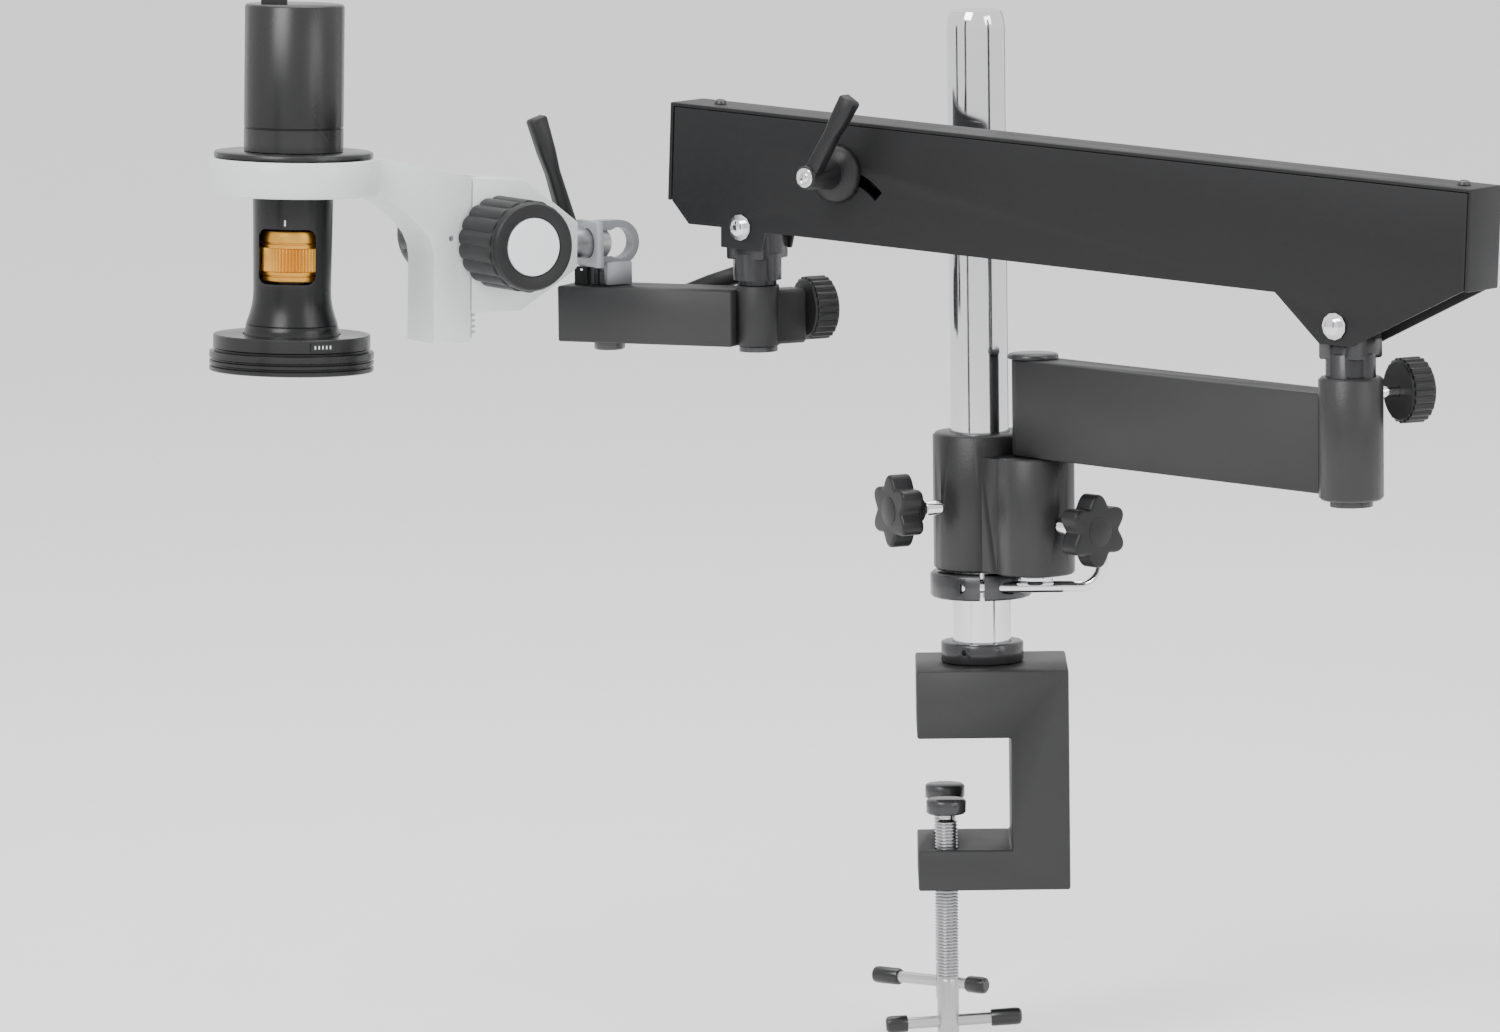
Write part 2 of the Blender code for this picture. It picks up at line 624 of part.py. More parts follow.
def wrist():
    pin_z = WRIST_PIN.z
    collar_z = 246.4
    profile = [(POST_R, pin_z - 15.0), (POST_R, collar_z + 2.6), (10.6, collar_z + 2.6)]
    profile += [(10.6, collar_z), (8.0, collar_z), (8.0, 213.0)]
    post = turned("wrist_post", profile, WRIST, "black_oxide", 24)
    block, cutters = pivot_block("wrist", WRIST, pin_z - 18.0, pin_z)
    fuse(post, block)
    cut(post, *cutters)
    cut(post, rod("wrist_stem_hole", 4.4, 205.0, 230.0, WRIST, None, 14))
    cap = [(4.0, 228.0), (4.0, 212.4), (10.7, 212.4), (10.7, 209.6)]
    turned("wrist_post_retainer", cap, WRIST, "black_oxide", 20)


def forearm():
    half = FOREARM_HALF_WIDTH
    low, high = FOREARM_Z
    arm = box("forearm", (9.0, FOREARM_END), (-half, half), FOREARM_Z, FOREARM, "black_powder_coat", 0.8)
    fuse(arm, rod("wrist_socket", 12.0, low, collar_top(), FOREARM, None, 24, 0.6))
    boss = level_frame(FOREARM.translation, LOCK_KNOB_DEG)
    fuse(arm, box("lock_boss", (0.0, 26.3), (-9.0, 9.0), (low + 0.6, high - 0.5), boss, None, 2.0))
    fuse(arm, box("stop_lug", (100.3, 108.0), (-6.0, 6.0), (high - 2.0, 253.4), FOREARM))
    lock = lock_screw_and_knob("wrist_lock", FOREARM.translation, 231.5, 8.6, 28.0)
    bolt_at = moved(FOREARM, KNUCKLE_AT)
    lever_at = along(FOREARM @ Vector((95.0, -half, 227.0)), FOREARM.to_3x3() @ Vector((0, -1, 0)))
    cut(
        arm,
        rod("wrist_bore", 8.35, low - 5.0, 260.0, FOREARM),
        rod("wrist_lock_hole", 3.4, 2.0, 40.0, lock, None, 12),
        rod("knuckle_bolt_hole", 6.4, low - 5.0, 260.0, bolt_at, None, 16),
        rod("knuckle_lock_hole", 3.4, -20.0, 5.0, lever_at, None, 12),
    )
    knob = lever("knuckle_lock_lever", lever_at, (0.5, 20.0), lever_turn(lever_at), 78.0)
    fuse(knob, rod("knuckle_lock_stud", 3.0, -8.8, 10.0, lever_at, None, 12, 0.4))


def collar_top():
    return 246.0


def lever_turn(at):
    """The turn about the lever's axis that lays its arm along the forearm, rising to the wrist."""
    arm = FOREARM.to_3x3() @ Vector((-1.0, 0.0, 0.30))
    local = at.to_3x3().inverted() @ arm
    return math.degrees(math.atan2(local.y, local.x))


def knuckle():
    base = FOREARM_Z[1] + GAP
    block = box(
        "knuckle", (-13.2, -9.1), (-12.0, 12.0), (254.1, 279.4), KNUCKLE, "grey_paint", 0.5
    )
    side = upright(KNUCKLE)
    eye = moved(side, 4.85, RACK_PIN_HEIGHT)
    outer = circle(0.0, 0.0, 12.6, 13, -90.0, 180.0) + [(-16.0, 12.6), (-16.0, -12.6)]
    fuse(block, plate("knuckle_eye", outer, -4.0, 4.0, eye))
    fuse(block, box("knuckle_foot", (-4.9, 10.6), (-8.0, 8.0), (base, 256.4), KNUCKLE, None, 0.4))
    turning = along(RACK.translation, RACK.to_3x3() @ Vector((1.0, 0.0, 0.0)))
    lug = (RACK_PIN_HEIGHT - 7.5, RACK_PIN_HEIGHT + 7.5)
    fuse(block, box("lock_lug", (-12.0, -1.2), (2.0, 12.0), lug, KNUCKLE))
    back = KNUCKLE.to_3x3() @ Vector((0.0, 1.0, 0.0))
    lock = along(KNUCKLE @ Vector((-7.0, 12.0, RACK_PIN_HEIGHT)), back)
    cut(block, rod("rack_lock_hole", 3.4, -6.0, 5.0, lock, None, 12))
    knob = lever("rack_lock_lever", lock, (0.5, 22.0), -17.5, 72.0)
    fuse(knob, rod("rack_lock_stud", 3.0, -3.3, 10.0, lock, None, 12, 0.4))
    cut(
        block,
        rod("eye_window", 8.7, -10.0, 10.0, eye, None, 24),
        rod("pin_seat", RACK_PIN_R + 0.3, -40.0, 2.0, turning, None, 24),
        rod("knuckle_bolt_seat", 6.4, 230.0, 252.2, KNUCKLE, None, 16),
    )
    bolt = [(6.0, 251.8), (6.0, 212.4), (8.6, 212.4), (8.6, 208.6), (7.8, 207.8)]
    turned("knuckle_bolt", bolt, KNUCKLE, "black_oxide", 16)
    rod("rack_pin", RACK_PIN_R, -61.0, -1.4, turning, "plain_steel", 24, 1.2)


def rack_housing():
    side = upright(RACK)
    half = RACK_HALF_WIDTH
    outline = [(-92.5, 39.0), (-60.8, 37.5), (-27.1, 13.0), (-27.1, -12.0), (-62.0, -35.0)]
    outline += [(-92.5, -35.0)]
    body = plate("rack_housing", outline, -half, half, side, "white_textured_paint", 0.8)
    turning = along(RACK.translation, RACK.to_3x3() @ Vector((1.0, 0.0, 0.0)))
    pinion = moved(side, PINION_X, PINION_Z)
    cut(
        body,
        box("rack_channel", (-96.0, -83.2), (-8.4, 8.4), (-60.0, 60.0), RACK),
        rod("pinion_pocket", 9.2, -5.3, 5.3, pinion, None, 20),
        rod("shaft_bore", 4.35, -25.0, 25.0, pinion, None, 16),
        rod("pin_bore", RACK_PIN_R + 0.3, -62.0, -20.0, turning),
    )


def rack_carrier():
    side = upright(RACK)
    half = RACK_HALF_WIDTH
    outline = [(-93.5, 39.0), (-145.0, 49.8), (-155.0, 49.8), (-155.0, 33.0), (-148.0, 29.0)]
    outline += [(-142.5, 26.0), (-134.0, 21.0), (-126.5, 14.8), (-120.0, 7.5), (-117.0, 1.0)]
    outline += [(-116.0, -6.0), (-116.0, -51.0), (-93.5, -51.0)]
    body = plate("rack_carrier", outline, -half, half, side, "white_textured_paint")
    ring = pipe("scope_ring", RING_BORE_R, RING_R, RING_Z[0], RING_Z[1], SCOPE, None, 36, 1.0)
    guide = box("slide_guide", (-95.0, -89.3), (-7.8, 7.8), (-50.6, 38.6), RACK)
    fuse(body, ring, guide)
    face = along(RACK @ Vector((-105.4, -half, 6.0)), RACK.to_3x3() @ Vector((0, -1, 0)))
    cut(
        body,
        rod("stop_screw_hole", 1.8, -5.0, 5.0, face, None, 10),
    )
    rack_gear(side)


def rack_gear(side):
    """Straight teeth facing the pinion, with one tooth level with the pinion's axis."""
    root = -86.5
    tip = PINION_X - PITCH_R + 0.5
    outline = [(-89.0, -50.0), (root, -50.0)]
    for i in range(-16, 11):
        z = PINION_Z + i * RACK_PITCH
        outline += [(root, z - 1.05), (tip, z - 0.4), (tip, z + 0.4), (root, z + 1.05)]
    outline += [(root, 38.0), (-89.0, 38.0)]
    plate("rack_gear", outline, -4.0, 4.0, side, "plain_steel")


def pinion():
    side = upright(RACK)
    at = moved(side, PINION_X, PINION_Z)
    shaft = rod("pinion_shaft", 4.0, -48.0, 48.0, at, "plain_steel", 16, 0.6)
    teeth = []
    for i in range(TEETH):
        middle = 180.0 + (i + 0.5) * 360.0 / TEETH
        for r, offset in ((6.3, -7.6), (8.0, -3.2), (8.0, 3.2), (6.3, 7.6)):
            a = math.radians(middle + offset)
            teeth.append((r * math.cos(a), r * math.sin(a)))
    fuse(shaft, plate("pinion_teeth", teeth, -4.8, 4.8, at))
    for name, sign in (("near", -1.0), ("far", 1.0)):
        outward = RACK.to_3x3() @ Vector((0.0, sign, 0.0))
        knob_at = along(RACK @ Vector((PINION_X, 0.0, PINION_Z)), outward)
        focus_knob(name, knob_at)


def focus_knob(name, at):
    low, high = 17.0, 58.0
    flutes = lobed(FOCUS_KNOB_R, 1.4, 18, 2, 0.6)
    knob = plate("focus_knob_" + name, flutes, low, high, at, "black_rubber", 1.6)
    recess = 2.4
    cut(
        knob,
        rod(name + "_shaft_hole", 4.3, low - 3.0, 48.4, at, None, 16),
        rod(name + "_insert_recess", 16.1, high - recess, high + 5.0, at, None, 28),
    )
    disc = (high - recess + GAP, high + 0.5)
    rod("knob_insert_" + name, 15.8, *disc, at, "white_plastic", 28, 0.5)


def microscope():
    steps = 32
    tube = [(21.8, 54.2), (21.8, 28.0), (21.1, -20.0), (21.6, -27.0), (22.9, -33.0)]
    tube += [(24.8, -39.0), (26.0, -45.0), (18.4, -45.0), (18.4, 54.2)]
    body = turned("microscope_tube", tube, SCOPE, "black_anodised", steps, ring=True)
    window_at = SCOPE @ Matrix.Rotation(math.radians(-128.0), 4, "Z")
    # In the window's frame X points out of the window.
    face = along(window_at.translation, window_at.to_3x3() @ Vector((1, 0, 0)), SCOPE.col[2].xyz)
    half, corner, low, high = 15.6, 4.0, -16.5, 13.5
    outline = []
    for cx, cy, start in (
        (high - corner, half - corner, 0.0),
        (low + corner, half - corner, 90.0),
        (low + corner, corner - half, 180.0),
        (high - corner, corner - half, 270.0),
    ):
        outline += circle(cx, cy, corner, 3, start, 90.0)
    cut(body, plate("front_window", outline, 4.0, 30.0, face))
    cut(body, plate("rear_window", outline, -30.0, -4.0, face))
    flange = [(22.3, 54.5), (42.6, 54.5), (43.1, 54.0), (43.1, 51.6), (37.9, 51.6)]
    flange += [(37.9, 33.0), (22.3, 33.0)]
    turned("mounting_flange", flange, SCOPE, "black_anodised", 36, ring=True)
    camera(steps)
    lens = [(11.0, -38.0), (18.0, -39.6), (18.0, -43.2), (11.0, -44.8)]
    turned("objective_lens", lens, SCOPE, "optical_glass", 24)
    zoom = [(16.6, 12.6), (17.5, 11.8), (17.5, 8.6), (16.8, 8.0), (16.8, 7.2), (17.5, 6.6)]
    zoom += [(17.5, -5.0), (16.8, -5.6), (16.8, -6.4), (17.5, -7.0), (17.5, -14.6)]
    zoom += [(16.6, -15.4), (12.0, -15.4), (12.0, 12.6)]
    turned("zoom_ring", zoom, SCOPE, "brass_anodised", 28, ring=True)
    ring_light()


def camera(steps):
    low, high = CAMERA_Z
    r = CAMERA_R
    body = [(r - 1.0, high), (r, high - 1.0), (r, 68.2), (r - 0.5, 67.9), (r - 0.5, 67.4)]
    body += [(r, 67.1), (r, low), (12.0, low), (12.0, low + 4.0), (r - 2.6, low + 4.0)]
    body += [(r - 2.6, high - 4.0)]
    case = turned("camera_body", body, SCOPE, "black_anodised", steps)
    at = SCOPE @ Matrix.Rotation(math.radians(-30.0), 4, "Z")
    inlet = box("camera_inlet", (-18.0, -4.0), (-5.0, 5.0), (high - 2.0, high + 3.2), at)
    cut(fuse(case, inlet), box("inlet_slot", (-15.5, -6.5), (-2.0, 2.0), (high, high + 9.0), at))


def ring_light():
    top = [(26.7, -44.3), (42.2, -44.3), (42.6, -44.7), (42.6, -51.8), (41.6, -52.3)]
    top += [(41.6, -53.2), (44.6, -53.7), (44.6, -57.3), (43.6, -57.7), (43.6, -58.5)]
    top += [(RING_LIGHT_R, -58.9), (RING_LIGHT_R, -64.2), (40.3, -64.2), (40.3, -58.0)]
    top += [(24.0, -58.0), (24.0, -64.2), (21.5, -64.2), (21.5, -45.6), (26.7, -45.6)]
    turned("ring_light", top, SCOPE, "black_anodised", 36, ring=True)
    pipe("ring_light_diffuser", 24.5, 39.8, -63.6, -61.6, SCOPE, "frosted_diffuser", 28, 0.3)


desk_clamp()
pillar()
safety_stop()
hub()
lower_arm()
elbow()
parallel_arm()
wrist()
forearm()
knuckle()
rack_housing()
rack_carrier()
pinion()
microscope()
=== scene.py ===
import json
import math

import bpy
from mathutils import Matrix, Vector


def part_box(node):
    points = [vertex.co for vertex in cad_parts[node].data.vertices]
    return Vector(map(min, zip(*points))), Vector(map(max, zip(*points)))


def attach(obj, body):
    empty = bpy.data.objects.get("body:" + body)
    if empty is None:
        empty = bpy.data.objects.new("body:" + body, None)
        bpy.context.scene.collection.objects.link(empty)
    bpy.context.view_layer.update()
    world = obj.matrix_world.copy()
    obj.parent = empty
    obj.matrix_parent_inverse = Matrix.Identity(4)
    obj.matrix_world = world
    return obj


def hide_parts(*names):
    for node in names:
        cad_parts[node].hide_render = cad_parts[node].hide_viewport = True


MM = 0.001
WINDOW_TURN = -128.0  # degrees about the microscope's axis, from the rack
LATCH_TURN = WINDOW_TURN + 34.0
LAMP_COUNT = 24
LAMP_CIRCLE_R = 32.0
BAR_HALF = 37.5
BAR_R = 3.2
BAR_CAP_LENGTHS = {"front": (17.0, 12.0), "rear": (12.0, 17.0)}
SPRING_RING_HEIGHT = {"tilt_lock": 30.0, "rack_lock": 22.0, "knuckle_lock": 20.0}
FLOOR_Z = -0.176
FLOOR_SIDE = 80.0
CAMERA_AT = (-0.0774, -5.173, 0.753)
CAMERA_YAW, CAMERA_PITCH, CAMERA_ROLL = -0.0095, 0.122, -0.0131

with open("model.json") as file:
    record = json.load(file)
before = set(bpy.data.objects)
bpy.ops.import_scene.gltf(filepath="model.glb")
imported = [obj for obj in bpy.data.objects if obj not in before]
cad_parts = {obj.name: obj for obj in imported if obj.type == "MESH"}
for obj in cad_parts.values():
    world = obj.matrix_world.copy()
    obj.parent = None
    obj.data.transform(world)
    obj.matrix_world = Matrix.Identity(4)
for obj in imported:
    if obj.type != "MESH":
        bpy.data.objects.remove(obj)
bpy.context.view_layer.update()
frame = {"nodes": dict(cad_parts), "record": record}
NODES = frame["nodes"]
RECORD = frame["record"]
JOINTS = {j["name"]: j for j in RECORD["behaviour"]["joints"]}
BODY_OF = {n: b for b, nodes in RECORD["behaviour"]["bodies"].items() for n in nodes}


def nodes_for(material):
    """A function that adds a shader node and sets its properties or its inputs by name."""
    tree = material.node_tree

    def make(kind, **settings):
        node = tree.nodes.new(kind)
        for key, value in settings.items():
            if hasattr(node, key):
                setattr(node, key, value)
            else:
                node.inputs[key.replace("_", " ")].default_value = value
        return node

    return make


def finish_of(name, colour, rough, metallic=0.0, grain=900.0, bump=0.15, mottle=0.12,
              wear=0.0, coat=0.0, streak=None, rough_spread=0.12, specular=0.5):
    """A finish with grain in its surface, a slow change of tone and roughness, and worn edges."""
    material = bpy.data.materials.new(name)
    material.use_nodes = True
    tree = material.node_tree
    shader = tree.nodes["Principled BSDF"]
    make = nodes_for(material)
    link = tree.links.new
    shader.inputs["Metallic"].default_value = metallic
    shader.inputs["Coat Weight"].default_value = coat
    shader.inputs["Specular IOR Level"].default_value = specular
    place = make("ShaderNodeTexCoord")
    space = place.outputs["Object"]
    if streak:
        stretch = make("ShaderNodeMapping")
        stretch.inputs["Scale"].default_value = streak
        link(space, stretch.inputs["Vector"])
        fine_space = stretch.outputs["Vector"]
    else:
        fine_space = space
    fine = make("ShaderNodeTexNoise", Scale=grain, Detail=4.0, Roughness=0.65)
    slow = make("ShaderNodeTexNoise", Scale=22.0, Detail=3.0)
    link(fine_space, fine.inputs["Vector"])
    link(space, slow.inputs["Vector"])
    tone = make("ShaderNodeMix", data_type="RGBA")
    tone.inputs[6].default_value = (*[c * (1.0 - mottle) for c in colour], 1.0)
    tone.inputs[7].default_value = (*[min(1.0, c * (1.0 + mottle)) for c in colour], 1.0)
    link(slow.outputs["Fac"], tone.inputs["Factor"])
    colour_out = tone.outputs[2]
    if wear:
        shape = make("ShaderNodeNewGeometry")
        edge = make("ShaderNodeMapRange")
        edge.inputs["From Min"].default_value = 0.53
        edge.inputs["From Max"].default_value = 0.62
        edge.inputs["To Max"].default_value = wear
        link(shape.outputs["Pointiness"], edge.inputs["Value"])
        worn = make("ShaderNodeMix", data_type="RGBA")
        worn.inputs[7].default_value = (*[min(1.0, 0.12 + c * 1.6) for c in colour], 1.0)
        link(edge.outputs["Result"], worn.inputs["Factor"])
        link(colour_out, worn.inputs[6])
        colour_out = worn.outputs[2]
    link(colour_out, shader.inputs["Base Color"])
    gloss = make("ShaderNodeMapRange")
    gloss.inputs["To Min"].default_value = max(0.02, rough - rough_spread)
    gloss.inputs["To Max"].default_value = min(1.0, rough + rough_spread)
    link(slow.outputs["Fac"], gloss.inputs["Value"])
    link(gloss.outputs["Result"], shader.inputs["Roughness"])
    relief = make("ShaderNodeBump", Strength=bump)
    relief.inputs["Distance"].default_value = 0.0003
    link(fine.outputs["Fac"], relief.inputs["Height"])
    link(relief.outputs["Normal"], shader.inputs["Normal"])
    return material


POWDER = finish_of("powder_coat", (0.009, 0.009, 0.010), 0.5, grain=1500.0, bump=0.35, wear=0.2,
                   specular=0.3)
CAST = finish_of("cast_powder_coat", (0.008, 0.008, 0.009), 0.36, grain=700.0, bump=0.4, wear=0.25,
                 specular=0.35)
OXIDE = finish_of("black_oxide", (0.02, 0.02, 0.022), 0.26, 0.35, 1200.0, 0.1, wear=0.3)
PLASTIC = finish_of("moulded_plastic", (0.008, 0.008, 0.009), 0.42, grain=1900.0, bump=0.22,
                    specular=0.4)
RUBBER = finish_of("grip_rubber", (0.010, 0.010, 0.011), 0.48, grain=2400.0, bump=0.25,
                   specular=0.4)
CHROME = finish_of("chrome", (0.78, 0.78, 0.8), 0.09, 1.0, 500.0, 0.02, 0.03,
                   streak=(1.0, 1.0, 0.05), rough_spread=0.04)
STEEL = finish_of("turned_steel", (0.5, 0.5, 0.51), 0.3, 1.0, 900.0, 0.2, 0.1,
                  streak=(0.4, 0.4, 3.0))
VINYL = finish_of("vinyl_cap", (0.008, 0.008, 0.009), 0.28, grain=300.0, bump=0.08, coat=0.2)
GREY = finish_of("grey_enamel", (0.24, 0.245, 0.26), 0.4, 0.15, 1300.0, 0.2, wear=0.25)
WHITE = finish_of("orange_peel_white", (0.66, 0.715, 0.70), 0.4, grain=520.0, bump=0.9,
                  mottle=0.03, coat=0.25)
INSERT = finish_of("insert_plastic", (0.8, 0.82, 0.84), 0.32, grain=1500.0, bump=0.05, mottle=0.02)
ANODISED = finish_of("black_anodised", (0.012, 0.012, 0.013), 0.28, 0.4, 1800.0, 0.08, wear=0.2,
                     streak=(1.0, 1.0, 6.0))
BRASS = finish_of("gold_anodised", (0.70, 0.36, 0.065), 0.36, 1.0, 1500.0, 0.12, 0.08,
                  streak=(1.0, 1.0, 5.0))
FROST = finish_of("frosted_diffuser", (0.85, 0.85, 0.82), 0.6, grain=1400.0, bump=0.2, mottle=0.03)
MARK = finish_of("printed_mark", (0.75, 0.75, 0.75), 0.5, grain=1500.0, bump=0.1, mottle=0.05)


def glass():
    material = finish_of("coated_glass", (0.55, 0.62, 0.7), 0.06, 0.0, 300.0, 0.01, 0.2,
                         rough_spread=0.02)
    shader = material.node_tree.nodes["Principled BSDF"]
    shader.inputs["Transmission Weight"].default_value = 0.85
    shader.inputs["IOR"].default_value = 1.5
    return material


GLASS = glass()

FINISHES = {
    "powder_coat": POWDER,
    "black_oxide": OXIDE,
    "black_plastic": PLASTIC,
    "black_rubber": RUBBER,
    "chrome": CHROME,
    "steel": STEEL,
    "grey_paint": GREY,
    "white_paint": WHITE,
    "white_plastic": INSERT,
    "anodised_black": ANODISED,
    "anodised_brass": BRASS,
    "optical_glass": GLASS,
    "diffuser": FROST,
}
SLOTS = {s["node"]: s["material_slot"] for s in RECORD["subparts"]}
SOFT_EDGES = {
    "clamp_frame": 0.9,
    "hub_casting": 1.2,
    "lower_arm": 0.8,
    "forearm": 0.7,
    "parallel_arm_frame": 0.35,
    "parallel_arm_cover": 0.6,
    "rack_housing": 1.0,
    "rack_carrier": 0.8,
    "knuckle": 0.5,
}


def smooth(obj, edge=0.0, split=48.0, segments=3):
    """Smooth shading between creases, with rounded edges if a width in millimetres is given."""
    for face in obj.data.polygons:
        face.use_smooth = True
    weld = obj.modifiers.new("weld", "WELD")
    weld.merge_threshold = 0.00001
    if edge:
        bevel = obj.modifiers.new("edge", "BEVEL")
        bevel.width = edge * MM
        bevel.segments = segments
        bevel.limit_method = "ANGLE"
        bevel.angle_limit = math.radians(50.0)
        bevel.harden_normals = False
    cut = obj.modifiers.new("creases", "EDGE_SPLIT")
    cut.split_angle = math.radians(split)


for name, obj in NODES.items():
    obj.data.materials.clear()
    obj.data.materials.append(FINISHES[SLOTS[name]])
    smooth(obj, SOFT_EDGES.get(name, 0.0))
NODES["hub_casting"].data.materials[0] = CAST
NODES["elbow_socket"].data.materials[0] = CAST


def axis_frame(origin, z_axis, up=(0.0, 0.0, 1.0)):
    """A frame with its Z along the axis and its X as near to up as it can be."""
    z = Vector(z_axis).normalized()
    y = z.cross(Vector(up)).normalized()
    x = y.cross(z)
    return Matrix.Translation(Vector(origin)) @ Matrix((x, y, z)).transposed().to_4x4()


def at_joint(name, up=(0.0, 0.0, 1.0)):
    joint = JOINTS[name]
    return axis_frame(joint["pos_m"], joint["axis"], up)


def centre(node):
    low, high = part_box(node)
    return (Vector(low) + Vector(high)) / 2.0


def piece(name, mesh, place, finish, node=None, body=None):
    """Links a mesh as a visible piece that rides on a body, and stands for any CAD node named."""
    obj = bpy.data.objects.new(name, mesh)
    bpy.context.scene.collection.objects.link(obj)
    obj.matrix_world = place
    mesh.materials.append(finish)
    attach(obj, body or BODY_OF[node])
    if node:
        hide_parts(node)
    return obj


def lathe(name, profile, place, finish, node=None, body=None, steps=96, split=32.0):
    """A closed profile of radius and height pairs, in millimetres, turned about the frame's Z."""
    n = len(profile)
    verts = []
    for i in range(steps):
        a = 2.0 * math.pi * i / steps
        verts += [(r * MM * math.cos(a), r * MM * math.sin(a), z * MM) for r, z in profile]
    outward = loop_area(profile) > 0
    faces = []
    for i in range(steps):
        j = (i + 1) % steps
        for k in range(n):
            m = (k + 1) % n
            quad = (i * n + k, j * n + k, j * n + m, i * n + m)
            faces.append(quad if outward else quad[::-1])
    mesh = bpy.data.meshes.new(name)
    mesh.from_pydata(verts, [], faces)
    obj = piece(name, mesh, place, finish, node, body)
    smooth(obj, 0.0, split)
    return obj


def loop_area(outline):
    """Twice the area, positive when the outline runs anticlockwise."""
    return sum(a[0] * b[1] - b[0] * a[1] for a, b in zip(outline, outline[1:] + outline[:1]))


def extruded(name, outline, low, high):
    """A mesh with this outline between two heights, all in millimetres."""
    points = outline if loop_area(outline) > 0 else outline[::-1]
    n = len(points)
    verts = [(x * MM, y * MM, low * MM) for x, y in points]
    verts += [(x * MM, y * MM, high * MM) for x, y in points]
    faces = [tuple(range(n))[::-1], tuple(range(n, 2 * n))]
    faces += [(i, (i + 1) % n, n + (i + 1) % n, n + i) for i in range(n)]
    mesh = bpy.data.meshes.new(name)
    mesh.from_pydata(verts, [], faces)
    return mesh


def prism(name, outline, low, high, place, finish, node=None, body=None,
          edge=0.0, segments=3, split=32.0):
    mesh = extruded(name, outline, low, high)
    obj = piece(name, mesh, place, finish, node, body)
    smooth(obj, edge, split, segments)
    return obj


def lobes(radius, depth, count, per_lobe, sharpness):
    """A round outline with this many crests at the radius and hollows of this depth."""
    total = count * per_lobe
    points = []
    for i in range(total):
        a = 2.0 * math.pi * i / total
        wave = (0.5 + 0.5 * math.cos(count * a)) ** sharpness
        r = radius - depth + depth * wave
        points.append((r * math.cos(a), r * math.sin(a)))
    return points


def star_knob(name, back):
    place = at_joint(name + "_turn")
    outline = lobes(20.0, 5.6, 6, 20, 0.8)
    node = name + "_knob"
    prism(node + "_star", outline, back, back + 13.0, place, PLASTIC, node, edge=3.0, segments=4)
    neck = [(4.6, back - 7.0), (6.4, back - 7.0), (7.0, back - 6.4), (7.5, back - 3.0)]
    neck += [(9.0, back + 0.6), (9.0, back + 1.5), (4.6, back + 1.5)]
    lathe(node + "_neck", neck, place, PLASTIC, body=name, steps=64)
    cap = [(0.0, back + 12.8), (8.2, back + 12.8), (8.2, back + 13.1), (7.4, back + 13.5)]
    cap += [(0.0, back + 13.7)]
    lathe(node + "_cap", cap, place, PLASTIC, body=name, steps=64)
    tip = 17.0 if name == "pillar_lock" else 10.0
    stud = [(0.0, tip), (4.0, tip), (4.0, back - 10.0)]
    z = back - 10.0
    while z < back - 5.5:
        stud += [(4.0, z), (3.5, z + 0.5)]
        z += 1.0
    stud += [(3.8, back + 2.0), (0.0, back + 2.0)]
    lathe(name + "_thread", stud, place, CHROME, name + "_stud", steps=48, split=50.0)


def lock_knob(name, back, tip):
    place = at_joint(name + "_turn")
    node = name + "_knob"
    outline = lobes(17.5, 1.3, 24, 8, 0.55)
    prism(node + "_grip", outline, back + 1.2, back + 13.3, place, PLASTIC, node, edge=0.5)
    rim = [(3.2, back - 0.2), (15.2, back - 0.2), (16.0, back + 0.4), (16.0, back + 13.9)]
    rim += [(15.2, back + 14.5), (11.0, back + 14.5), (10.0, back + 13.7), (0.0, back + 13.7)]
    rim += [(0.0, back + 2.0), (3.2, back + 2.0)]
    lathe(node + "_core", rim, place, PLASTIC, body=name)
    screw = [(0.0, tip), (2.6, tip), (3.0, tip + 0.4), (3.0, back + 1.9), (0.0, back + 1.9)]
    lathe(node + "_screw", screw, place, CHROME, body=name, steps=48)


def focus_knob(side, sign):
    joint = JOINTS["focus_knob_turn"]
    place = axis_frame(joint["pos_m"], Vector(joint["axis"]) * sign)
    node = "focus_knob_" + side
    outline = lobes(25.3, 1.5, 18, 14, 0.28)
    prism(node + "_grip", outline, 17.2, 53.0, place, RUBBER, node, edge=1.3, segments=4)
    rim = [(16.1, 50.0), (24.3, 50.0), (24.3, 55.6), (23.9, 57.0), (23.0, 58.0), (17.2, 58.0)]
    rim += [(16.4, 57.6), (16.1, 57.0)]
    lathe(node + "_rim", rim, place, RUBBER, body="pinion")
    disc = [(0.0, 55.0), (15.8, 55.0), (15.8, 57.6), (15.3, 58.2), (12.0, 58.4), (0.0, 58.5)]
    lathe("knob_insert_" + side + "_disc", disc, place, INSERT, "knob_insert_" + side)


def rounded_box_outline(low, high, half, corner):
    points = []
    for cx, cy, start in (
        (high - corner, half - corner, 0.0),
        (low + corner, half - corner, 90.0),
        (low + corner, corner - half, 180.0),
        (high - corner, corner - half, 270.0),
    ):
        for i in range(9):
            a = math.radians(start + 90.0 * i / 8)
            points.append((cx + corner * math.cos(a), cy + corner * math.sin(a)))
    return points


def cutter(name, outline, low, high, place):
    """A hidden solid for a Boolean to cut with."""
    obj = bpy.data.objects.new(name, extruded(name, outline, low, high))
    bpy.context.scene.collection.objects.link(obj)
    obj.matrix_world = place
    obj.hide_render = True
    obj.hide_viewport = True
    return obj


